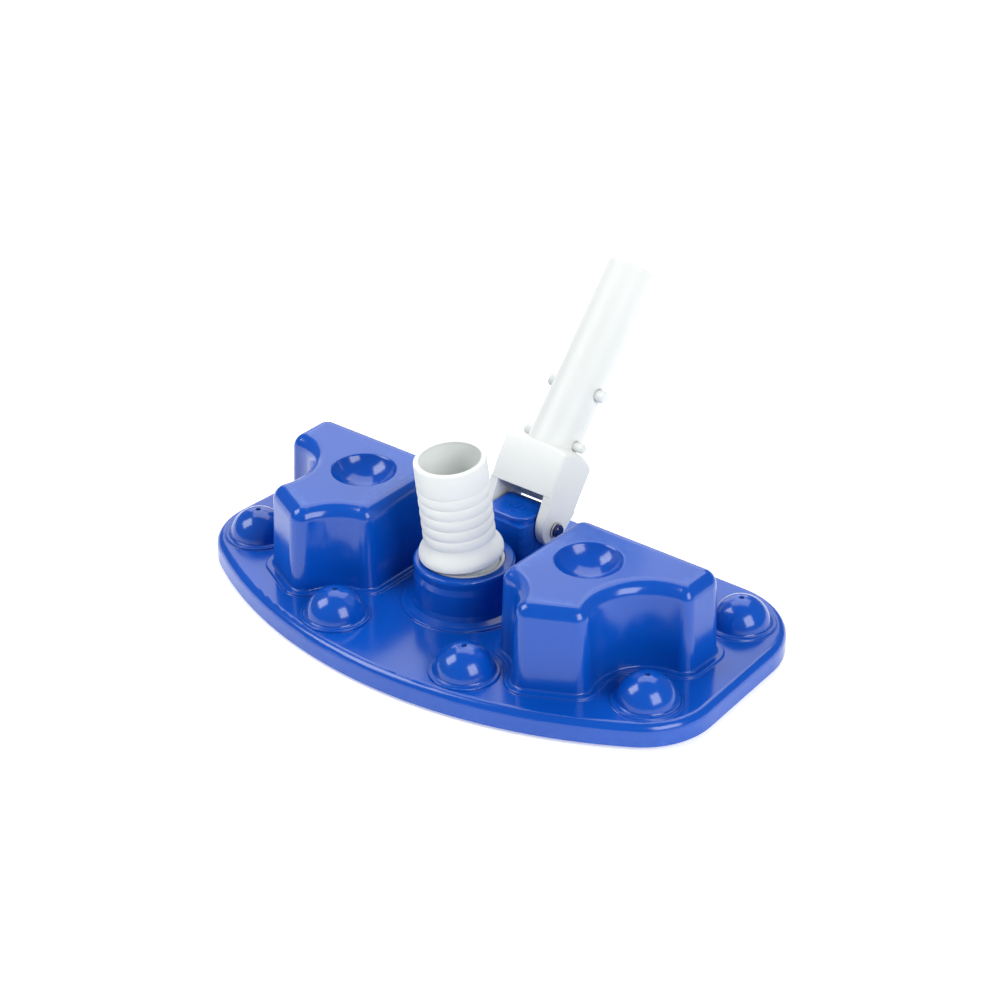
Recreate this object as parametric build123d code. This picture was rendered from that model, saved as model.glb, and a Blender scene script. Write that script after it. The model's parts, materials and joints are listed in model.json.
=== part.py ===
from build123d import *
import math
import os

# Manual vacuum head for a pool. Millimetres, +Z up, floor at z = 0.
# X runs across the head, -Y is the curved front, and the hose collar stands on the Z axis.

# ---- floor, skirt and plate ----
BALL_DROP = 2.0            # the balls stand this far below the skirt
PLATE_TOP = 14.2
WALL = 2.5                 # moulded wall of the body
PLATE_UNDER = PLATE_TOP - WALL
FRONT_RADIUS = 261.6       # curved front edge
FRONT_CENTRE_Y = 181.7
BACK_Y = 103.0
SIDE_X_FRONT = 159.7       # half width where the side meets the front arc
SIDE_X_BACK = 152.7        # half width at the back edge
FRONT_CORNER_R = 42.0
BACK_CORNER_R = 47.0
RIM_ROUND = 4.5
LEDGE_H = 1.2              # raised step around every moulded feature
LEDGE_ROUND = 0.6
LEDGE_ROOT = 0.5           # hollow corner between a ledge and the plate
FEATURE_ROOT = 1.2         # hollow corner between a lobe or dome and its ledge

# ---- domes and rolling balls: front pair, side pair, back pair ----
DOME_X = [43.1, 130.2, 126.2]
DOME_Y = [-53.3, -17.4, 70.8]
DOME_R = 15.8
DOME_WALL = 1.8
DOME_Z = 13.8              # centre of the dome's sphere
DOME_LEDGE_R = 18.5
VENT_R = 1.5
BALL_R = 13.7
BALL_GAP = 0.3
BOSS_R = 19.2              # socket under the plate that holds a ball's ring
RING_R = 17.0
RING_BOTTOM = 5.2
RING_TOP = 10.4

# ---- lobes that hold the ballast ----
LOBE_TOP = 62.7
LOBE_DRAFT = 2.2           # degrees
LOBE_INNER_X = 42.0
LOBE_OUTER_X = 134.5
LOBE_BACK_Y = 44.0
SCALLOP_FRONT_R = 25.2     # hollow around the front dome
SCALLOP_SIDE_R = 28.2      # hollow around the side dome
NOSE_START = -3.0          # degrees around the front dome
NOSE_END = 217.5           # degrees around the side dome
LOBE_TOP_ROUND = 8.0
LOBE_INNER_R = 9.0         # corners beside the collar and the pivot
LOBE_NOSE_R = 9.2          # the two corners of the nose between the scallops
LOBE_OUTER_FRONT_R = 7.0
LOBE_OUTER_BACK_R = 10.0
LOBE_LEDGE = 3.8
HOUSING_SEAT = 15.0         # a lobe's housing stands this high, in a shallow rebate of its ledge
HOUSING_EDGE = 1.3          # and reaches this far out past the lobe's foot
HOUSING_INSIDE = 3.4        # its posts stand inside this much of the foot's outline
DIMPLE_X = 74.9
DIMPLE_Y = 7.4
DIMPLE_R = 17.5
DIMPLE_DEPTH = 10.5
DIMPLE_ROUND = 1.6
POST_R = 4.2               # screw posts inside a lobe
POST_X = [51.0, 124.0, 79.0, 51.0]
POST_Y = [35.5, 33.0, -38.0, -18.0]
BALLAST_TOP = 27.0
BALLAST_GAP = 0.5
COVER_BOTTOM = 9.2
COVER_OVERLAP = 5.0        # the cover reaches this far past the lobe's opening

# ---- collar and swivel ----
COLLAR_TOP = 40.2
COLLAR_R = 26.6
COLLAR_NECK_R = 25.3
COLLAR_BORE_R = 23.2
LIP_BORE_R = 21.4          # the collar's rim closes in over the swivel's shoulder
LIP_Z = 35.5
COLLAR_LEDGE_R = 33.6
COLLAR_ROOT_R = 31.0       # foot of the collar, where it flares onto its ledge
FLANGE_BORE_R = 25.0
FLANGE_SHOULDER_Z = 17.4
SWIVEL_R = 22.9
SWIVEL_NECK_R = 21.1
SWIVEL_SHOULDER_Z = 35.2
SWIVEL_TOP = 40.4
MOUTH_R = 19.6             # flare that lets the cuff's neck lean
MOUTH_THROAT_R = 18.2
MOUTH_Z = 36.0
SWIVEL_BOTTOM = 12.2
SWIVEL_FLANGE_R = 24.7
SWIVEL_FLANGE_TOP = 17.1
SWIVEL_THROAT_R = 17.0
SOCKET_R = 20.3
SEAL_Z = 26.0
SEAL_R = 0.9
SEAL_GROOVE = 2.1          # depth of its groove
RETAINER_R = 33.0
RETAINER_BORE_R = 20.5
RETAINER_BOTTOM = 8.7
RETAINER_SCREW_R = 29.0    # circle of its four screws
RETAINER_SCREW_LENGTH = 6.2

# ---- hose cuff ----
PIVOT_Z = 30.0             # centre of the cuff's ball seat, on the collar's axis
CUFF_LEAN = 6.1            # degrees from upright at rest
LEAN_HEADING = 237.9       # degrees from +X towards +Y
CUFF_R = 19.0
CUFF_BORE_R = 16.0
CUFF_LENGTH = 70.3         # ball centre to the open end
CUFF_BALL_R = 20.0
BALL_SEAT_DOWN = 9.0
BALL_SEAT_UP = 8.0
CUFF_NECK_R = 17.4
SKIRT_EDGE = 13.6
SKIRT_R = 22.3
SKIRT_RISE = 2.6
SKIRT_TOP = 23.5
RIB_START = 24.2
RIB_PITCH = 6.36
RIB_COUNT = 5
RIB_RISE = 0.65            # each rib bulges this far between its grooves

# ---- handle pivot ----
PIN_Y = 50.7
PIN_Z = 40.4
PIN_R = 3.5
PIN_REACH = 24.0           # how far its free end stands out, on +X
PIN_HEAD_R = 5.2
PIN_HEAD_T = 2.0
PIN_FIT = 0.06             # radial gap between the pin and the ears
PIN_CLIP_OUT = 1.3         # the clip's middle, outside the ear
PIN_CLIP_T = 0.8
PIN_CLIP_BITE = 0.7        # depth of its groove in the pin
BLOCK_HALF = 14.4
BLOCK_FRONT_Y = 30.6
BLOCK_CORNER_R = 3.0
BLOCK_BACK_R = 10.8        # rounded back, about the pin
BLOCK_LEDGE_Z = 47.5
FOOT_BACK_Y = 72.0
FOOT_TOP = 19.0
CAP_HALF = 13.5
CAP_FRONT_Y = 33.1
CAP_CORNER_R = 8.0
CAP_TOP = 50.5
KNUCKLE_R = 10.9           # raised band about the pin
KNUCKLE_HALF = 12.0
RING_MARK_Y = 43.0         # plain raised ring and dot on the cap
RING_MARK_R = 4.8
RING_MARK_H = 0.5
BLOCK_SCREW_LENGTH = 6.2

# ---- handle: a is along the tube from the pin, p is across it towards the back ----
LEAN = 41.6                # degrees back from upright at rest
EAR_INNER = 15.2
EAR_OUTER = 20.2
EAR_R = 9.5
EAR_FRONT_P = -12.7        # the ear's front edge, level with the pin
TUBE_P = -5.0
TUBE_R = 13.85             # where it leaves the box
POLE_SEAT_R = 13.5
POLE_SEAT_A = 82.0         # the pole's clear seat starts here
TUBE_END_A = 145.5
TUBE_BORE_R = 10.8
BOX_LOW_A = 13.0
BOX_FRONT_LOW_P = -16.3    # the box's front face bows from here
BOX_FRONT_MID_P = -19.0
BOX_FRONT_TOP_P = -18.6
BOX_BACK_LOW_P = 11.7
BOX_BACK_TOP_P = 8.8
BOX_LIMIT_A = 46.0         # the walls run up to here before the crown cuts them
BOX_WALL = 3.0
BOX_CORNER_R = 1.8
CROWN_P = -4.1             # centre and radius of the crown's arch, seen from the side
CROWN_A = 13.6
CROWN_ARCH_R = 29.2
CROWN_ACROSS_R = 103.0     # its gentler arch from ear to ear
HOLLOW_TOP_A = 30.0
BORE_LOW_A = 32.5

# ---- snap clip inside the tube ----
BUTTON_A = 74.3
BUTTON_R = 3.4
BUTTON_REACH = 18.2
NUB_A = 44.7               # squeeze nubs
NUB_R = 2.7
NUB_REACH = 19.6
BUTTON_GAP = 0.3
LEG_IN = 6.4
LEG_OUT = 8.6
LEG_HALF_WIDTH = 4.0
LEG_LOW_A = 41.2
LEG_TOP_A = 79.0
BEND_A = 40.7              # centre of the clip's round bend

SCREW_R = 1.6
SCREW_HEAD_R = 3.4
SCREW_HEAD_H = 1.8
FIT = 0.05


def around(x, y, radius, degrees):
    angle = math.radians(degrees)
    return (x + radius * math.cos(angle), y + radius * math.sin(angle))


def disc(x, y, radius, low, high):
    return Pos(x, y, low) * Cylinder(radius, high - low, align=(Align.CENTER, Align.CENTER, Align.MIN))


def turned(points):
    """A solid of revolution about Z from (radius, height) points."""
    outline = Polyline(*[(r, 0, z) for r, z in points], close=True)
    return revolve(make_face(outline), Axis.Z)


def both_sides(solid):
    return [solid, mirror(solid, about=Plane.YZ)]


def fuse(solids):
    result = solids[0]
    for solid in solids[1:]:
        result = result + solid
    return result


def save(shape, name):
    shape.label = name
    export_step(shape, "parts/" + name + ".step")


# ---- outlines seen from above ----
def plate_outline(inset):
    radius = FRONT_RADIUS
    left = (-SIDE_X_FRONT, FRONT_CENTRE_Y - math.sqrt(radius ** 2 - SIDE_X_FRONT ** 2))
    right = (SIDE_X_FRONT, left[1])
    nose = (0, FRONT_CENTRE_Y - radius)
    front = ThreePointArc(left, nose, right)
    rest = Polyline(right, (SIDE_X_BACK, BACK_Y), (-SIDE_X_BACK, BACK_Y), left)
    face = make_face([front, rest])
    corners = face.vertices().sort_by(Axis.Y)
    face = fillet(corners[:2], FRONT_CORNER_R)
    face = fillet(face.vertices().group_by(Axis.Y)[-1], BACK_CORNER_R)
    return offset(face, -inset) if inset else face


def lobe_outline(inset):
    """The right lobe's foot, moved inwards by inset (outwards when negative)."""
    front = (DOME_X[0], DOME_Y[0])
    side = (DOME_X[1], DOME_Y[1])
    inner_y = front[1] + math.sqrt(SCALLOP_FRONT_R ** 2 - (LOBE_INNER_X - front[0]) ** 2)
    outer_y = side[1] + math.sqrt(SCALLOP_SIDE_R ** 2 - (LOBE_OUTER_X - side[0]) ** 2)
    inner_front = (LOBE_INNER_X, inner_y)
    nose_left = around(*front, SCALLOP_FRONT_R, NOSE_START)
    nose_right = around(*side, SCALLOP_SIDE_R, NOSE_END)
    outer_front = (LOBE_OUTER_X, outer_y)
    outer_back = (LOBE_OUTER_X, LOBE_BACK_Y)
    inner_back = (LOBE_INNER_X, LOBE_BACK_Y)
    edges = [
        Line(inner_back, inner_front),
        ThreePointArc(inner_front, around(*front, SCALLOP_FRONT_R, 45), nose_left),
        Line(nose_left, nose_right),
        ThreePointArc(nose_right, around(*side, SCALLOP_SIDE_R, 150), outer_front),
        Line(outer_front, outer_back),
        Line(outer_back, inner_back),
    ]
    face = make_face(edges)
    for point, radius in [
        (inner_back, LOBE_INNER_R),
        (inner_front, LOBE_INNER_R),
        (nose_left, LOBE_NOSE_R),
        (nose_right, LOBE_NOSE_R),
        (outer_front, LOBE_OUTER_FRONT_R),
        (outer_back, LOBE_OUTER_BACK_R),
    ]:
        corner = face.vertices().sort_by_distance((point[0], point[1], 0))[0]
        face = fillet(corner, radius)
    return offset(face, -inset) if inset else face


# ---- body shell ----
def ledge(face, low):
    step = extrude(Pos(0, 0, low) * face, PLATE_TOP + LEDGE_H - low)
    return fillet(step.faces().sort_by(Axis.Z)[-1].edges(), LEDGE_ROUND)


def root_rounded(solid, height, radius):
    """Rounds the hollow corners where features stand up from the solid's level face at that height."""
    flat = solid.faces().filter_by(lambda f: f.bounding_box().size.Z < 0.01)
    level = flat.filter_by(lambda f: abs(f.center().Z - height) < 0.01).sort_by(SortBy.AREA)[-1]
    edges = [edge for wire in level.inner_wires() for edge in wire.edges()]
    return fillet(edges, radius)


def lobe_solid(inset, low, top, rounding):
    block = extrude(Pos(0, 0, low) * lobe_outline(inset), top - low, taper=LOBE_DRAFT)
    return fillet(block.faces().sort_by(Axis.Z)[-1].edges(), rounding)


def make_body():
    skirt = extrude(Pos(0, 0, BALL_DROP) * plate_outline(0), PLATE_TOP - BALL_DROP)
    skirt = fillet(skirt.faces().sort_by(Axis.Z)[-1].edges(), RIM_ROUND)
    hollow = extrude(plate_outline(WALL), PLATE_UNDER)
    hollow = fillet(hollow.faces().sort_by(Axis.Z)[-1].edges(), RIM_ROUND - WALL)

    bowl_rise = (DIMPLE_R ** 2 + DIMPLE_DEPTH ** 2) / (2 * DIMPLE_DEPTH)
    bowl_z = LOBE_TOP - DIMPLE_DEPTH + bowl_rise
    lobe = lobe_solid(0, PLATE_UNDER, LOBE_TOP, LOBE_TOP_ROUND)
    lobe = lobe - Pos(DIMPLE_X, DIMPLE_Y, bowl_z) * Sphere(bowl_rise)
    rim = lobe.edges().filter_by(GeomType.CIRCLE)
    rim = [e for e in rim if abs(e.radius - DIMPLE_R) < 0.5 and abs(e.center().Z - LOBE_TOP) < 0.5]
    lobe = fillet(rim, DIMPLE_ROUND)
    lobe = lobe + ledge(lobe_outline(-LOBE_LEDGE), PLATE_UNDER)
    lobe = root_rounded(lobe, PLATE_TOP + LEDGE_H, FEATURE_ROOT)
    cavity = lobe_solid(WALL, 0, LOBE_TOP - WALL, LOBE_TOP_ROUND - WALL)
    cavity = cavity - Pos(DIMPLE_X, DIMPLE_Y, bowl_z) * Sphere(bowl_rise + WALL)
    for x, y in zip(POST_X, POST_Y):
        cavity = cavity - disc(x, y, POST_R, PLATE_UNDER, LOBE_TOP)
        cavity = cavity + disc(x, y, SCREW_R + FIT, 0, PLATE_UNDER + 14)

    domes = []
    caves = []
    for x, y in zip(DOME_X, DOME_Y):
        dome = Pos(x, y, DOME_Z) * Sphere(DOME_R) - disc(x, y, 40, -20, PLATE_UNDER)
        dome = dome + ledge(Pos(x, y) * Circle(DOME_LEDGE_R).face(), PLATE_UNDER)
        dome = root_rounded(dome, PLATE_TOP + LEDGE_H, FEATURE_ROOT)
        socket = disc(x, y, BOSS_R, RING_BOTTOM, PLATE_UNDER + 0.5)
        domes = domes + both_sides(dome + socket)
        cave = Pos(x, y, DOME_Z) * Sphere(DOME_R - DOME_WALL)
        cave = cave + disc(x, y, RING_R + FIT, 0, RING_TOP)
        cave = cave + disc(x, y, VENT_R, DOME_Z, DOME_Z + 30)
        caves = caves + both_sides(cave)

    collar = turned([
        (0, PLATE_UNDER),
        (COLLAR_ROOT_R, PLATE_UNDER),
        (COLLAR_ROOT_R, PLATE_TOP + LEDGE_H),
        (COLLAR_ROOT_R - 3.0, PLATE_TOP + LEDGE_H + 1.4),
        (COLLAR_R + 0.2, PLATE_TOP + 5.4),
        (COLLAR_R - 0.3, COLLAR_TOP - 9.0),
        (COLLAR_NECK_R, COLLAR_TOP - 6.0),
        (COLLAR_NECK_R, COLLAR_TOP - 3.6),
        (COLLAR_R, COLLAR_TOP - 2.8),
        (COLLAR_R, COLLAR_TOP),
        (0, COLLAR_TOP),
    ])
    top_ring = collar.edges().filter_by(GeomType.CIRCLE).group_by(Axis.Z)[-1]
    collar = fillet(top_ring, 1.2)
    collar = collar + ledge(Circle(COLLAR_LEDGE_R).face(), PLATE_UNDER)
    well = turned([
        (0, 0),
        (FLANGE_BORE_R, 0),
        (FLANGE_BORE_R, FLANGE_SHOULDER_Z),
        (COLLAR_BORE_R, FLANGE_SHOULDER_Z),
        (COLLAR_BORE_R, LIP_Z),
        (LIP_BORE_R, LIP_Z),
        (LIP_BORE_R, COLLAR_TOP - 0.4),
        (LIP_BORE_R + 0.4, COLLAR_TOP),
        (LIP_BORE_R + 0.4, COLLAR_TOP + 1),
        (0, COLLAR_TOP + 1),
    ])

    body = skirt - hollow
    body = root_rounded(fuse([body, collar] + both_sides(lobe) + domes), PLATE_TOP, LEDGE_ROOT)
    for tool in [well] + both_sides(cavity) + caves:
        body = body - tool
    for angle in (45, 135, 225, 315):
        x, y = around(0, 0, RETAINER_SCREW_R, angle)
        body = body - disc(x, y, SCREW_R + FIT, 0, RETAINER_BOTTOM + RETAINER_SCREW_LENGTH + 0.3)
    for x, y in block_screw_places():
        body = body - disc(x, y, SCREW_R + FIT, 0, PLATE_TOP + 5)
    return body


def housing_space():
    """Everything that belongs to the right lobe's housing: above its seat, and its posts below it."""
    above = extrude(Pos(0, 0, HOUSING_SEAT) * lobe_outline(-HOUSING_EDGE), LOBE_TOP)
    return above + extrude(lobe_outline(HOUSING_INSIDE), HOUSING_SEAT + 1)


# ---- parts under the plate ----
def screw(x, y, under, length):
    """A pan-head screw driven upwards, its head resting against z = under."""
    shank = disc(x, y, SCREW_R, under, under + length)
    head = disc(x, y, SCREW_HEAD_R, under - SCREW_HEAD_H, under)
    head = fillet(head.edges().group_by(Axis.Z)[0], 0.8)
    slot = Pos(x, y, under - SCREW_HEAD_H) * Box(4.0, 0.9, 1.6)
    cross = Pos(x, y, under - SCREW_HEAD_H) * Box(0.9, 4.0, 1.6)
    return head + shank - slot - cross


def make_ballast():
    inset = WALL + BALLAST_GAP + 0.6
    block = extrude(Pos(0, 0, PLATE_UNDER) * lobe_outline(inset), BALLAST_TOP - PLATE_UNDER)
    block = chamfer(block.faces().sort_by(Axis.Z)[-1].edges(), 1.5)
    for x, y in zip(POST_X, POST_Y):
        block = block - disc(x, y, POST_R + BALLAST_GAP, 0, LOBE_TOP)
    return block.solids().sort_by(SortBy.VOLUME)[-1]


def make_cover():
    cover = extrude(Pos(0, 0, COVER_BOTTOM) * lobe_outline(-COVER_OVERLAP + WALL), PLATE_UNDER - COVER_BOTTOM)
    cover = chamfer(cover.faces().sort_by(Axis.Z)[0].edges(), 0.6)
    for x, y in zip(POST_X, POST_Y):
        cover = cover - disc(x, y, SCREW_R + FIT, 0, PLATE_TOP)
    for x, y in zip(DOME_X, DOME_Y):
        cover = cover - disc(x, y, BOSS_R + 0.3, 0, PLATE_TOP)
    return cover


def make_ball_ring(x, y):
    ring = disc(x, y, RING_R, RING_BOTTOM, RING_TOP)
    ring = ring - Pos(x, y, BALL_R) * Sphere(BALL_R + BALL_GAP)
    return chamfer(ring.edges().group_by(Axis.Z)[0].sort_by(SortBy.LENGTH)[-1], 0.6)


def make_retainer():
    ring = disc(0, 0, RETAINER_R, RETAINER_BOTTOM, PLATE_UNDER)
    ring = ring - disc(0, 0, RETAINER_BORE_R, 0, PLATE_TOP)
    for angle in (45, 135, 225, 315):
        x, y = around(0, 0, RETAINER_SCREW_R, angle)
        ring = ring - disc(x, y, SCREW_R + FIT, 0, PLATE_TOP)
    return chamfer(ring.edges().group_by(Axis.Z)[0].sort_by(SortBy.LENGTH)[-1], 0.8)


# ---- swivel, seal and hose cuff ----
def make_swivel():
    body = turned([
        (0, SWIVEL_BOTTOM),
        (SWIVEL_FLANGE_R, SWIVEL_BOTTOM),
        (SWIVEL_FLANGE_R, SWIVEL_FLANGE_TOP),
        (SWIVEL_R, SWIVEL_FLANGE_TOP),
        (SWIVEL_R, SEAL_Z - 1.2),
        (SWIVEL_R - SEAL_GROOVE, SEAL_Z - 1.2),
        (SWIVEL_R - SEAL_GROOVE, SEAL_Z + 1.2),
        (SWIVEL_R, SEAL_Z + 1.2),
        (SWIVEL_R, SWIVEL_SHOULDER_Z),
        (SWIVEL_NECK_R, SWIVEL_SHOULDER_Z),
        (SWIVEL_NECK_R, SWIVEL_TOP - 0.4),
        (SWIVEL_NECK_R - 0.4, SWIVEL_TOP),
        (0, SWIVEL_TOP),
    ])
    above = SWIVEL_TOP + 0.1
    mouth = turned([(0, MOUTH_Z), (MOUTH_THROAT_R, MOUTH_Z), (MOUTH_R, above), (0, above)])
    body = body - disc(0, 0, SWIVEL_THROAT_R, 0, 60) - mouth
    return body - Pos(0, 0, PIVOT_Z) * Sphere(SOCKET_R)


def make_seal():
    return Pos(0, 0, SEAL_Z) * Torus(SWIVEL_R - 1.15, SEAL_R)


def cuff_frame():
    """Upright cuff to its leaning place: tilt about a level axis across the lean's heading."""
    heading = Rotation(0, 0, LEAN_HEADING)
    back = Rotation(0, 0, -LEAN_HEADING)
    return Pos(0, 0, PIVOT_Z) * heading * Rotation(0, CUFF_LEAN, 0) * back


def make_rib(low, high):
    groove_r = CUFF_R - RIB_RISE
    bulge = ThreePointArc((groove_r, 0, low), (CUFF_R, 0, (low + high) / 2), (groove_r, 0, high))
    back = Polyline((groove_r, 0, high), (CUFF_NECK_R, 0, high), (CUFF_NECK_R, 0, low), (groove_r, 0, low))
    return revolve(make_face([bulge, back]), Axis.Z)


def make_cuff():
    seat = Sphere(CUFF_BALL_R)
    seat = seat - disc(0, 0, 40, -40, -BALL_SEAT_DOWN) - disc(0, 0, 40, BALL_SEAT_UP, 40)
    ribs_end = RIB_START + RIB_COUNT * RIB_PITCH
    tube = turned([
        (0, BALL_SEAT_UP - 1),
        (CUFF_NECK_R, BALL_SEAT_UP - 1),
        (CUFF_NECK_R, SKIRT_EDGE),
        (SKIRT_R - 0.8, SKIRT_EDGE),
        (SKIRT_R, SKIRT_EDGE + 0.8),
        (SKIRT_R, SKIRT_EDGE + SKIRT_RISE),
        (SKIRT_R - 1.3, SKIRT_EDGE + SKIRT_RISE + 2.6),
        (CUFF_R + 0.4, SKIRT_TOP - 2.4),
        (CUFF_R, SKIRT_TOP),
        (CUFF_R, RIB_START),
        (CUFF_NECK_R, RIB_START),
        (CUFF_NECK_R, ribs_end),
        (CUFF_R, ribs_end),
        (CUFF_R, CUFF_LENGTH),
        (0, CUFF_LENGTH),
    ])
    tube = fillet(tube.edges().group_by(Axis.Z)[-1], 0.8)
    cuff = seat + tube
    for i in range(RIB_COUNT):
        cuff = cuff + make_rib(RIB_START + i * RIB_PITCH, RIB_START + (i + 1) * RIB_PITCH)
    cuff = cuff - disc(0, 0, CUFF_BORE_R, -40, CUFF_LENGTH + 10)
    cuff = chamfer(cuff.edges().group_by(Axis.Z)[-1], 0.5)
    return cuff_frame() * cuff


# ---- pivot block and pin ----
def block_screw_places():
    return [(-9.5, 38.5), (9.5, 38.5), (-9.5, 66.0), (9.5, 66.0)]


def across(radius, x_low, x_high):
    """A cylinder lying along X at the origin's height."""
    return Pos((x_low + x_high) / 2, 0, 0) * Rotation(0, 90, 0) * Cylinder(radius, x_high - x_low)


def at_pin():
    return Pos(0, PIN_Y, PIN_Z)


def make_block():
    ledge_back_y = PIN_Y + math.sqrt(BLOCK_BACK_R ** 2 - (BLOCK_LEDGE_Z - PIN_Z) ** 2)
    back_y = PIN_Y + BLOCK_BACK_R
    front = Polyline((back_y, PIN_Z), (back_y, PLATE_TOP), (BLOCK_FRONT_Y, PLATE_TOP),
                     (BLOCK_FRONT_Y, BLOCK_LEDGE_Z), (ledge_back_y, BLOCK_LEDGE_Z))
    turn = around(PIN_Y, PIN_Z, BLOCK_BACK_R, 20)
    rounded = ThreePointArc((ledge_back_y, BLOCK_LEDGE_Z), turn, (back_y, PIN_Z))
    tower = extrude(Plane.YZ.offset(-BLOCK_HALF) * make_face([front, rounded]), 2 * BLOCK_HALF)
    tower = fillet(tower.edges().filter_by(Axis.Z).group_by(Axis.Y)[0], BLOCK_CORNER_R)

    foot_place = Pos(0, (PIN_Y + FOOT_BACK_Y) / 2, (PLATE_TOP + FOOT_TOP) / 2)
    foot = foot_place * Box(2 * BLOCK_HALF, FOOT_BACK_Y - PIN_Y, FOOT_TOP - PLATE_TOP)
    foot = fillet(foot.edges().filter_by(Axis.Z).group_by(Axis.Y)[-1], BLOCK_CORNER_R)

    cap_back_y = PIN_Y + 3
    cap_middle = (CAP_FRONT_Y + cap_back_y) / 2
    cap = Pos(0, cap_middle, CAP_TOP - 2) * Box(2 * CAP_HALF, cap_back_y - CAP_FRONT_Y, 4)
    cap = fillet(cap.edges().filter_by(Axis.Z).group_by(Axis.Y)[0], CAP_CORNER_R)
    cap = fillet(cap.faces().sort_by(Axis.Z)[-1].edges(), 0.8)

    knuckle = at_pin() * across(KNUCKLE_R, -KNUCKLE_HALF, KNUCKLE_HALF)
    knuckle = fillet(knuckle.edges().filter_by(GeomType.CIRCLE), 0.6)
    mark = disc(0, RING_MARK_Y, RING_MARK_R, CAP_TOP - 1, CAP_TOP + RING_MARK_H)
    mark = mark - disc(0, RING_MARK_Y, RING_MARK_R - 1.2, CAP_TOP - 2, CAP_TOP + 2)
    dot = disc(0, RING_MARK_Y, 1.0, CAP_TOP - 1, CAP_TOP + RING_MARK_H)

    block = fuse([tower, foot, cap, knuckle, mark, dot])
    pocket = Pos(0, PIN_Y, PLATE_TOP) * Box(20, 14, 18, align=(Align.CENTER, Align.CENTER, Align.MIN))
    block = block - pocket - at_pin() * across(PIN_R + 0.02, -40, 40)
    clear_of_collar = turned([
        (0, 0),
        (COLLAR_LEDGE_R + LEDGE_ROOT + 0.1, 0),
        (COLLAR_LEDGE_R + LEDGE_ROOT + 0.1, PLATE_TOP + LEDGE_H + 0.1),
        (COLLAR_ROOT_R + 0.1, PLATE_TOP + LEDGE_H + 0.1),
        (COLLAR_ROOT_R - 2.9, PLATE_TOP + LEDGE_H + 1.6),
        (COLLAR_R + 0.3, PLATE_TOP + 5.5),
        (0, PLATE_TOP + 5.5),
    ])
    block = block - clear_of_collar
    for x, y in block_screw_places():
        block = block - disc(x, y, SCREW_R + FIT, PLATE_UNDER, PLATE_UNDER + BLOCK_SCREW_LENGTH + 0.3)
    return block


def make_pin():
    head_x = -EAR_OUTER - 0.4
    pin = across(PIN_R, head_x - 1, PIN_REACH)
    pin = chamfer(pin.edges().filter_by(GeomType.CIRCLE).group_by(Axis.X)[-1], 0.6)
    head = across(PIN_HEAD_R, head_x - PIN_HEAD_T, head_x)
    head = fillet(head.edges().filter_by(GeomType.CIRCLE).group_by(Axis.X)[0], 0.8)
    groove_low = EAR_OUTER + PIN_CLIP_OUT - PIN_CLIP_T / 2 - 0.1
    groove_high = EAR_OUTER + PIN_CLIP_OUT + PIN_CLIP_T / 2 + 0.1
    groove = across(PIN_R + 1, groove_low, groove_high)
    groove = groove - across(PIN_R - PIN_CLIP_BITE, groove_low, groove_high)
    return at_pin() * (pin + head - groove)


def make_pin_clip():
    low = EAR_OUTER + PIN_CLIP_OUT - PIN_CLIP_T / 2
    high = low + PIN_CLIP_T
    clip = across(PIN_R + 0.9, low, high) - across(PIN_R - PIN_CLIP_BITE + 0.05, low - 1, high + 1)
    clip = clip - Pos(EAR_OUTER + PIN_CLIP_OUT, 0, -5) * Box(4, 3.6, 10)
    return at_pin() * clip


# ---- handle ----
def handle_frame():
    """From the handle's own frame (X across, Y = p, Z = a, origin on the pin) to its place."""
    return Pos(0, PIN_Y, PIN_Z) * Rotation(-LEAN, 0, 0)


def box_prism(inset, half, low, high):
    """The box's side outline, its front and back moved inwards by inset, drawn out across it."""
    middle_a = (BOX_LOW_A + BOX_LIMIT_A) / 2
    front_low = (BOX_FRONT_LOW_P + inset, BOX_LOW_A)
    front_top = (BOX_FRONT_TOP_P + inset, BOX_LIMIT_A)
    front = ThreePointArc(front_low, (BOX_FRONT_MID_P + inset, middle_a), front_top)
    back_top = (BOX_BACK_TOP_P - inset, BOX_LIMIT_A)
    back_low = (BOX_BACK_LOW_P - inset, BOX_LOW_A)
    rest = Polyline(front_top, back_top, back_low, front_low)
    prism = extrude(Plane.YZ.offset(-half) * make_face([front, rest]), 2 * half)
    return prism & Pos(0, 0, (low + high) / 2) * Box(100, 100, high - low)


def crown_space():
    """Everything under the crown, which is arched both along the box and across it."""
    left = around(CROWN_P, CROWN_A, CROWN_ARCH_R, 145)
    right = around(CROWN_P, CROWN_A, CROWN_ARCH_R, 35)
    axis_a = CROWN_A + CROWN_ARCH_R - CROWN_ACROSS_R
    arch = ThreePointArc(left, (CROWN_P, CROWN_A + CROWN_ARCH_R), right)
    rest = Polyline(right, (right[0], axis_a), (left[0], axis_a), left)
    axis = Axis((0, 0, axis_a), (0, 1, 0))
    half_angle = 20
    start = (Plane.YZ * make_face([arch, rest])).rotate(axis, -half_angle)
    return revolve(start, axis, 2 * half_angle)


def make_ear(side):
    root_a = BOX_LOW_A + 1
    front_turn = around(0, 0, EAR_R, 259)
    back_turn = around(0, 0, EAR_R, 5)
    outline = [
        Line((BOX_FRONT_LOW_P, root_a), (EAR_FRONT_P, 0.5)),
        ThreePointArc((EAR_FRONT_P, 0.5), (-9.1, -5.5), front_turn),
        ThreePointArc(front_turn, around(0, 0, EAR_R, 315), back_turn),
        Polyline(back_turn, (BOX_BACK_LOW_P - 0.1, root_a), (BOX_FRONT_LOW_P, root_a)),
    ]
    inner = EAR_INNER if side > 0 else -EAR_OUTER
    return extrude(Plane.YZ.offset(inner) * make_face(outline), EAR_OUTER - EAR_INNER)


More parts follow.
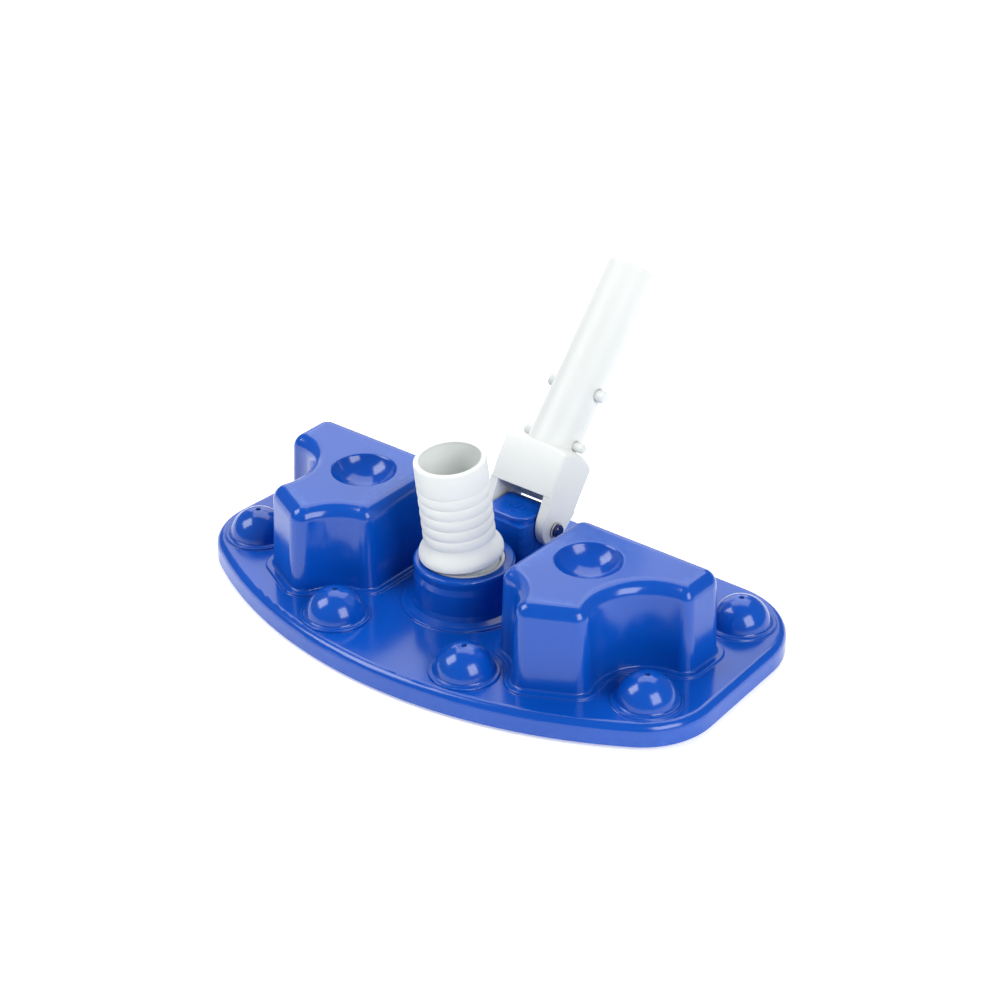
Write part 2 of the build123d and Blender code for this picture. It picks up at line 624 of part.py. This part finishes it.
def make_handle():
    box = box_prism(0, EAR_OUTER, BOX_LOW_A, BOX_LIMIT_A) & crown_space()
    box = fillet(box.edges().filter_by(lambda e: e.center().Z > BOX_LOW_A + 5), BOX_CORNER_R)
    taper = Pos(0, TUBE_P, HOLLOW_TOP_A + 6) * Cone(
        TUBE_R, POLE_SEAT_R, POLE_SEAT_A - HOLLOW_TOP_A - 6, align=(Align.CENTER, Align.CENTER, Align.MIN)
    )
    seat = disc(0, TUBE_P, POLE_SEAT_R, POLE_SEAT_A, TUBE_END_A)
    seat = fillet(seat.edges().group_by(Axis.Z)[-1], 0.8)
    handle = fuse([box, taper, seat, make_ear(1), make_ear(-1)])
    handle = handle - box_prism(BOX_WALL, EAR_INNER, BOX_LOW_A, HOLLOW_TOP_A)
    handle = handle - disc(0, TUBE_P, TUBE_BORE_R, BORE_LOW_A, TUBE_END_A + 5)
    handle = handle - across(PIN_R + PIN_FIT, -40, 40)
    button_hole = Pos(0, TUBE_P, BUTTON_A) * across(BUTTON_R + BUTTON_GAP, -40, 40)
    nub_hole = Pos(0, TUBE_P, NUB_A) * across(NUB_R + BUTTON_GAP, -40, 40)
    return handle_frame() * (handle - button_hole - nub_hole)


def rounded_stud(side, radius, reach, a):
    """A round stud on a clip leg, from the leg's outer face to its rounded tip."""
    ends = sorted((side * (LEG_OUT - 0.5), side * reach))
    stud = across(radius, *ends)
    tips = stud.edges().filter_by(GeomType.CIRCLE).sort_by(Axis.X)
    stud = fillet(tips[-1] if side > 0 else tips[0], 1.2)
    return Pos(0, TUBE_P, a) * stud


def make_button(side):
    """One leg of the snap clip: its arm inside the tube, its snap button and its squeeze nub."""
    middle = side * (LEG_IN + LEG_OUT) / 2
    height = LEG_TOP_A - LEG_LOW_A
    leg = Pos(middle, TUBE_P, (LEG_TOP_A + LEG_LOW_A) / 2) * Box(LEG_OUT - LEG_IN, 2 * LEG_HALF_WIDTH, height)
    button = rounded_stud(side, BUTTON_R, BUTTON_REACH, BUTTON_A)
    nub = rounded_stud(side, NUB_R, NUB_REACH, NUB_A)
    return handle_frame() * fuse([leg, button, nub])


def make_clip_spring():
    """The clip's round bend, seated on the floor of the tube's bore."""
    along = Rotation(90, 0, 0)
    bend = along * (Cylinder(LEG_OUT, 2 * LEG_HALF_WIDTH) - Cylinder(LEG_IN, 2 * LEG_HALF_WIDTH))
    height = BEND_A - BORE_LOW_A
    bend = bend & Pos(0, 0, -height / 2) * Box(40, 40, height)
    return handle_frame() * Pos(0, TUBE_P, BEND_A) * bend


# ---- build every node ----
os.makedirs("parts", exist_ok=True)
body = make_body()
right_space, left_space = both_sides(housing_space())
save(body - right_space - left_space, "body_shell")
save(body & right_space, "lobe_housing_right")
save(body & left_space, "lobe_housing_left")
ballast = make_ballast()
cover = make_cover()
for name, solid in zip(("right", "left"), both_sides(ballast)):
    save(solid, "ballast_" + name)
for name, solid in zip(("right", "left"), both_sides(cover)):
    save(solid, "ballast_cover_" + name)
cover_screws = []
for x, y in zip(POST_X, POST_Y):
    cover_screws = cover_screws + both_sides(screw(x, y, COVER_BOTTOM, 14))
save(Compound(cover_screws), "cover_screws")

for place, x, y in zip(("front", "side", "back"), DOME_X, DOME_Y):
    ball = Pos(x, y, BALL_R) * Sphere(BALL_R)
    ring = make_ball_ring(x, y)
    for name, solid in zip(("right", "left"), both_sides(ball)):
        save(solid, "ball_" + place + "_" + name)
    for name, solid in zip(("right", "left"), both_sides(ring)):
        save(solid, "ball_ring_" + place + "_" + name)

save(make_swivel(), "swivel_seat")
save(make_seal(), "swivel_seal")
save(make_cuff(), "hose_cuff")
save(make_retainer(), "swivel_retainer")
retainer_screws = []
for angle in (45, 135, 225, 315):
    x, y = around(0, 0, RETAINER_SCREW_R, angle)
    retainer_screws.append(screw(x, y, RETAINER_BOTTOM, RETAINER_SCREW_LENGTH))
save(Compound(retainer_screws), "retainer_screws")

save(make_block(), "pivot_block")
block_screws = [screw(x, y, PLATE_UNDER, BLOCK_SCREW_LENGTH) for x, y in block_screw_places()]
save(Compound(block_screws), "pivot_block_screws")
save(make_pin(), "pivot_pin")
save(make_pin_clip(), "pivot_pin_clip")
save(make_handle(), "handle")
save(make_button(1), "snap_button_right")
save(make_button(-1), "snap_button_left")
save(make_clip_spring(), "snap_clip_spring")
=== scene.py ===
import json
import math

import bmesh
import bpy
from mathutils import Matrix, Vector


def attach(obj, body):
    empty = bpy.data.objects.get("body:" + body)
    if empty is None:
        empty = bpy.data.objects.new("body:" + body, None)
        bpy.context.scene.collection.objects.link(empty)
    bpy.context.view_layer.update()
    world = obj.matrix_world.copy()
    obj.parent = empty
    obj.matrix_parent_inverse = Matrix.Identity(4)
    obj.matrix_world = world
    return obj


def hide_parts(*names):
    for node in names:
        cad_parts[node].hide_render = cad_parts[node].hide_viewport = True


# Looks for the manual pool vacuum head: blue moulded body, white hose cuff and handle.
# Metres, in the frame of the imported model: +Z up, -Y is the curved front.

MM = 0.001
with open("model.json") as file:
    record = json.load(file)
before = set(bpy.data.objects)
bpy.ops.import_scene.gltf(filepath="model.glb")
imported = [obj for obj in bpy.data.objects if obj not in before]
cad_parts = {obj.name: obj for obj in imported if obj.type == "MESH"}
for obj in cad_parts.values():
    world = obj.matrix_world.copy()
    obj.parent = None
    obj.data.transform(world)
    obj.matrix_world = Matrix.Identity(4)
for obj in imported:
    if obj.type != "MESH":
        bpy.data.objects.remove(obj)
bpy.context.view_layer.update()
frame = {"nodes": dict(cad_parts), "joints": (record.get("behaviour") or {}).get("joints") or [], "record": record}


# ---- camera ----
def make_camera():
    target = Vector((-4.8, 35.8, 56.2)) * MM
    place = Vector((771.7, -940.4, 770.6)) * MM
    data = bpy.data.cameras.new("camera")
    data.lens = 98.3
    data.sensor_width = 36.0
    data.clip_start = 0.05
    data.clip_end = 50.0
    camera = bpy.data.objects.new("camera", data)
    camera.location = place
    camera.rotation_euler = (target - place).to_track_quat("-Z", "Y").to_euler()
    bpy.context.scene.collection.objects.link(camera)
    bpy.context.scene.camera = camera


# ---- studio ----
FLOOR_HALF = 12.0
FLOOR_DROP = 0.2 * MM


def softbox(name, place, aim, width, height, watts):
    data = bpy.data.lights.new(name, "AREA")
    data.shape = "RECTANGLE"
    data.size = width
    data.size_y = height
    data.energy = watts
    light = bpy.data.objects.new(name, data)
    light.location = Vector(place)
    light.rotation_euler = (Vector(aim) - Vector(place)).to_track_quat("-Z", "Y").to_euler()
    bpy.context.scene.collection.objects.link(light)


def make_studio():
    world = bpy.data.worlds.new("studio")
    world.use_nodes = True
    background = world.node_tree.nodes["Background"]
    background.inputs["Color"].default_value = (1.0, 1.0, 1.0, 1.0)
    background.inputs["Strength"].default_value = 0.18
    bpy.context.scene.world = world
    bpy.context.scene.view_settings.view_transform = "Standard"

    head = (0.0, 0.0, 0.03)
    softbox("left_window", (-0.95, -0.75, 1.30), head, 0.85, 1.00, 17.5)
    softbox("right_window", (1.25, -0.30, 0.85), head, 0.85, 0.95, 16.0)
    softbox("ceiling", (-0.45, 0.75, 1.35), head, 1.50, 1.10, 13.0)
    softbox("back_panel", (-1.00, 1.15, 0.66), head, 1.40, 0.80, 5.6)

    floor_mesh = bpy.data.meshes.new("floor")
    half = FLOOR_HALF
    floor_mesh.from_pydata(
        [(-half, -half, 0), (half, -half, 0), (half, half, 0), (-half, half, 0)], [], [(0, 1, 2, 3)]
    )
    floor = bpy.data.objects.new("floor", floor_mesh)
    floor.location.z = -FLOOR_DROP
    bpy.context.scene.collection.objects.link(floor)
    floor.data.materials.append(floor_material())


# ---- materials ----
def new_material(name):
    material = bpy.data.materials.new(name)
    material.use_nodes = True
    nodes = material.node_tree.nodes
    return material, nodes, material.node_tree.links, nodes["Principled BSDF"]


def floor_material():
    material, nodes, links, shader = new_material("paper_floor")
    grain = nodes.new("ShaderNodeTexNoise")
    grain.inputs["Scale"].default_value = 60.0
    tone = nodes.new("ShaderNodeMapRange")
    tone.inputs["To Min"].default_value = 0.93
    tone.inputs["To Max"].default_value = 0.96
    links.new(grain.outputs["Fac"], tone.inputs["Value"])
    links.new(tone.outputs["Result"], shader.inputs["Base Color"])
    shader.inputs["Roughness"].default_value = 0.9
    shader.inputs["Specular IOR Level"].default_value = 0.1
    shader.inputs["Emission Color"].default_value = (1.0, 1.0, 1.0, 1.0)
    shader.inputs["Emission Strength"].default_value = 0.42
    return material


def noise(nodes, links, place, scale, detail=3.0):
    texture = nodes.new("ShaderNodeTexNoise")
    texture.inputs["Scale"].default_value = scale
    texture.inputs["Detail"].default_value = detail
    links.new(place.outputs["Object"], texture.inputs["Vector"])
    return texture.outputs["Fac"]


def spread(nodes, links, value, low, high):
    """Maps a 0.3 to 0.7 noise value onto low to high."""
    mapping = nodes.new("ShaderNodeMapRange")
    mapping.inputs["From Min"].default_value = 0.3
    mapping.inputs["From Max"].default_value = 0.7
    mapping.inputs["To Min"].default_value = low
    mapping.inputs["To Max"].default_value = high
    links.new(value, mapping.inputs["Value"])
    return mapping.outputs["Result"]


def blend_colours(nodes, links, factor, first, second):
    mix = nodes.new("ShaderNodeMix")
    mix.data_type = "RGBA"
    links.new(factor, mix.inputs["Factor"])
    for socket, colour in ((6, first), (7, second)):
        if isinstance(colour, tuple):
            mix.inputs[socket].default_value = (*colour, 1.0)
        else:
            links.new(colour, mix.inputs[socket])
    return mix.outputs[2]


def edge_wear(nodes, links, low, high):
    """1 on convex edges, 0 elsewhere."""
    geometry = nodes.new("ShaderNodeNewGeometry")
    mapping = nodes.new("ShaderNodeMapRange")
    mapping.inputs["From Min"].default_value = low
    mapping.inputs["From Max"].default_value = high
    links.new(geometry.outputs["Pointiness"], mapping.inputs["Value"])
    return mapping.outputs["Result"]


def bumps(nodes, links, layers, rounding):
    """Stacks bump layers of (height, strength, distance), on an edge-rounding normal if there is one."""
    normal = None
    if rounding:
        bevel = nodes.new("ShaderNodeBevel")
        bevel.samples = 4
        bevel.inputs["Radius"].default_value = rounding
        normal = bevel.outputs["Normal"]
    for height, strength, distance in layers:
        bump = nodes.new("ShaderNodeBump")
        bump.inputs["Strength"].default_value = strength
        bump.inputs["Distance"].default_value = distance
        links.new(height, bump.inputs["Height"])
        if normal:
            links.new(normal, bump.inputs["Normal"])
        normal = bump.outputs["Normal"]
    return normal


def moulded_plastic(name, colour, deeper, worn, rough, rounding=0.35 * MM, subsurface=0.0):
    """Injection-moulded plastic: faint flow shading, sink waviness, fine peel and rubbed edges."""
    material, nodes, links, shader = new_material(name)
    place = nodes.new("ShaderNodeTexCoord")
    flow = spread(nodes, links, noise(nodes, links, place, 14.0), 0.0, 1.0)
    base = blend_colours(nodes, links, flow, colour, deeper)
    edge = edge_wear(nodes, links, 0.53, 0.62)
    patch = noise(nodes, links, place, 220.0, 6.0)
    worn_edge = nodes.new("ShaderNodeMath")
    worn_edge.operation = "MULTIPLY"
    links.new(edge, worn_edge.inputs[0])
    links.new(spread(nodes, links, patch, 0.0, 0.5), worn_edge.inputs[1])
    links.new(blend_colours(nodes, links, worn_edge.outputs[0], base, worn), shader.inputs["Base Color"])
    haze = noise(nodes, links, place, 35.0, 5.0)
    links.new(spread(nodes, links, haze, rough[0], rough[1]), shader.inputs["Roughness"])
    peel = noise(nodes, links, place, 1400.0, 2.0)
    sink = noise(nodes, links, place, 28.0, 1.0)
    layers = [(sink, 0.35, 0.4 * MM), (peel, 0.10, 0.02 * MM)]
    links.new(bumps(nodes, links, layers, rounding), shader.inputs["Normal"])
    shader.inputs["IOR"].default_value = 1.52
    if subsurface:
        shader.inputs["Subsurface Weight"].default_value = subsurface
        shader.inputs["Subsurface Radius"].default_value = (0.85, 1.0, 0.95)
        shader.inputs["Subsurface Scale"].default_value = 3.0 * MM
    return material


def brushed_metal(name, colour, rough, metallic=1.0):
    material, nodes, links, shader = new_material(name)
    place = nodes.new("ShaderNodeTexCoord")
    stain = spread(nodes, links, noise(nodes, links, place, 160.0, 4.0), 0.0, 1.0)
    darker = tuple(0.6 * c for c in colour)
    links.new(blend_colours(nodes, links, stain, colour, darker), shader.inputs["Base Color"])
    haze = noise(nodes, links, place, 700.0)
    links.new(spread(nodes, links, haze, rough[0], rough[1]), shader.inputs["Roughness"])
    grain = noise(nodes, links, place, 2500.0, 4.0)
    links.new(bumps(nodes, links, [(grain, 0.2, 0.03 * MM)], 0.15 * MM), shader.inputs["Normal"])
    shader.inputs["Metallic"].default_value = metallic
    return material


def make_materials():
    blue = moulded_plastic(
        "blue_plastic",
        colour=(0.0015, 0.076, 0.465),
        deeper=(0.0012, 0.067, 0.42),
        worn=(0.03, 0.15, 0.58),
        rough=(0.13, 0.20),
        rounding=0.0,
    )
    navy = moulded_plastic(
        "navy_pin",
        colour=(0.002, 0.018, 0.13),
        deeper=(0.002, 0.014, 0.10),
        worn=(0.03, 0.06, 0.25),
        rough=(0.15, 0.28),
    )
    white = moulded_plastic(
        "white_plastic",
        colour=(0.755, 0.78, 0.77),
        deeper=(0.72, 0.75, 0.735),
        worn=(0.80, 0.81, 0.80),
        rough=(0.42, 0.56),
        subsurface=0.3,
    )
    ball = moulded_plastic(
        "ball_plastic",
        colour=(0.78, 0.79, 0.78),
        deeper=(0.70, 0.71, 0.70),
        worn=(0.55, 0.55, 0.54),
        rough=(0.35, 0.5),
    )
    rubber = moulded_plastic(
        "seal_rubber",
        colour=(0.012, 0.012, 0.012),
        deeper=(0.02, 0.02, 0.02),
        worn=(0.05, 0.05, 0.05),
        rough=(0.55, 0.75),
    )
    steel = brushed_metal("screw_steel", (0.76, 0.77, 0.78), (0.30, 0.46))
    iron = brushed_metal("ballast_iron", (0.10, 0.10, 0.105), (0.55, 0.8), metallic=0.6)
    return {
        "blue_plastic": blue,
        "navy_pin": navy,
        "white_plastic": white,
        "ball_plastic": ball,
        "seal_rubber": rubber,
        "screw_steel": steel,
        "ballast_iron": iron,
    }


def dress_nodes(materials):
    """Every CAD node gets the material of its slot."""
    for part in frame["record"]["subparts"]:
        node = frame["nodes"][part["node"]]
        node.data.materials.clear()
        node.data.materials.append(materials[part["material_slot"]])


# ---- hose cuff ----
CUFF_RADIUS = 19.0
CUFF_BORE = 16.0
CUFF_LENGTH = 70.3
CUFF_PIVOT = Vector((0.0, 0.0, 30.0)) * MM
BALL_RADIUS = 20.0
NECK_RADIUS = 17.4
BELL_EDGE = 13.6
BELL_RADIUS = 22.3
RIB_START = 24.2
RIB_PITCH = 6.36
RIB_COUNT = 5
RIB_RISE = 0.65
CUFF_LEAN = 6.1  # degrees from upright at rest
BALL_LOW = -9.0  # the ball's zone, as heights from its centre
BALL_HIGH = 8.0
BELL_FALL_START = 15.6
BELL_TOP = 24.0
BELL_STEPS = 16
RIB_STEPS = 14
LATHE_SEGMENTS = 160


def arc(centre_r, centre_z, radius, start, end, steps):
    """Points of a profile arc, as (radius, height), from start to end in degrees."""
    points = []
    for i in range(steps + 1):
        angle = math.radians(start + (end - start) * i / steps)
        points.append((centre_r + radius * math.cos(angle), centre_z + radius * math.sin(angle)))
    return points


def cuff_profile():
    """The cuff's closed outline, in mm: down the bore, round the ball, up the bell and the ribs."""
    top = CUFF_LENGTH
    ball_start = math.degrees(math.asin(BALL_LOW / BALL_RADIUS))
    ball_end = math.degrees(math.asin(BALL_HIGH / BALL_RADIUS))
    points = [(CUFF_BORE + 0.2, top - 0.4), (CUFF_BORE, top - 1.2), (CUFF_BORE, BALL_LOW + 0.6)]
    points += arc(CUFF_BORE + 0.5, BALL_LOW + 0.5, 0.5, 180, 270, 4)
    points += arc(0.0, 0.0, BALL_RADIUS, ball_start, ball_end, 14)
    points += [(NECK_RADIUS, 8.6), (NECK_RADIUS, BELL_EDGE - 0.4)]
    points += arc(NECK_RADIUS + 0.5, BELL_EDGE - 0.5, 0.5, 180, 90, 3)
    points += arc(BELL_RADIUS - 1.1, BELL_EDGE + 1.1, 1.1, -90, 0, 8)
    for i in range(1, BELL_STEPS + 1):
        t = i / BELL_STEPS
        fall = 0.5 - 0.5 * math.cos(math.pi * t)
        radius = BELL_RADIUS + (CUFF_RADIUS - 0.45 - BELL_RADIUS) * fall
        points.append((radius, BELL_FALL_START + (BELL_TOP - BELL_FALL_START) * t))
    for i in range(RIB_COUNT):
        low = RIB_START + i * RIB_PITCH
        for k in range(RIB_STEPS + 1):
            t = k / RIB_STEPS
            swell = math.sin(math.pi * t) ** 0.55
            radius = CUFF_RADIUS - RIB_RISE + RIB_RISE * swell
            points.append((radius, low + RIB_PITCH * (0.03 + 0.94 * t)))
    band = RIB_START + RIB_COUNT * RIB_PITCH
    points += arc(CUFF_RADIUS - 0.5, band + 0.8, 0.5, -60, 0, 3)
    points += [(CUFF_RADIUS, band + 6.0), (CUFF_RADIUS, top - 2.0)]
    points += arc(CUFF_RADIUS - 1.1, top - 1.1, 1.1, 0, 90, 8)
    points += arc(CUFF_BORE + 0.6, top - 0.6, 0.6, 90, 150, 4)
    return points


def lathe(name, profile, segments):
    """A closed turned mesh about Z from a closed (radius, height) outline in mm."""
    mesh = bmesh.new()
    rings = []
    for i in range(segments):
        angle = 2 * math.pi * i / segments
        across, along = math.cos(angle), math.sin(angle)
        ring = [mesh.verts.new((r * MM * across, r * MM * along, z * MM)) for r, z in profile]
        rings.append(ring)
    count = len(profile)
    for i in range(segments):
        ring, following = rings[i], rings[(i + 1) % segments]
        for k in range(count):
            after = (k + 1) % count
            mesh.faces.new((ring[k], following[k], following[after], ring[after]))
    bmesh.ops.recalc_face_normals(mesh, faces=mesh.faces)
    for face in mesh.faces:
        face.smooth = True
    data = bpy.data.meshes.new(name)
    mesh.to_mesh(data)
    mesh.free()
    piece = bpy.data.objects.new(name, data)
    bpy.context.scene.collection.objects.link(piece)
    return piece


def make_cuff(materials):
    piece = lathe("hose_cuff_shell", cuff_profile(), LATHE_SEGMENTS)
    lean = next(j for j in frame["joints"] if j["name"] == "cuff_lean")
    tilt = math.radians(CUFF_LEAN)
    piece.rotation_mode = "AXIS_ANGLE"
    piece.rotation_axis_angle = (tilt, *lean["axis"])
    piece.location = CUFF_PIVOT
    piece.data.materials.append(materials["white_plastic"])
    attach(piece, "cuff")
    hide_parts("hose_cuff")


make_camera()
make_studio()
all_materials = make_materials()
dress_nodes(all_materials)
make_cuff(all_materials)
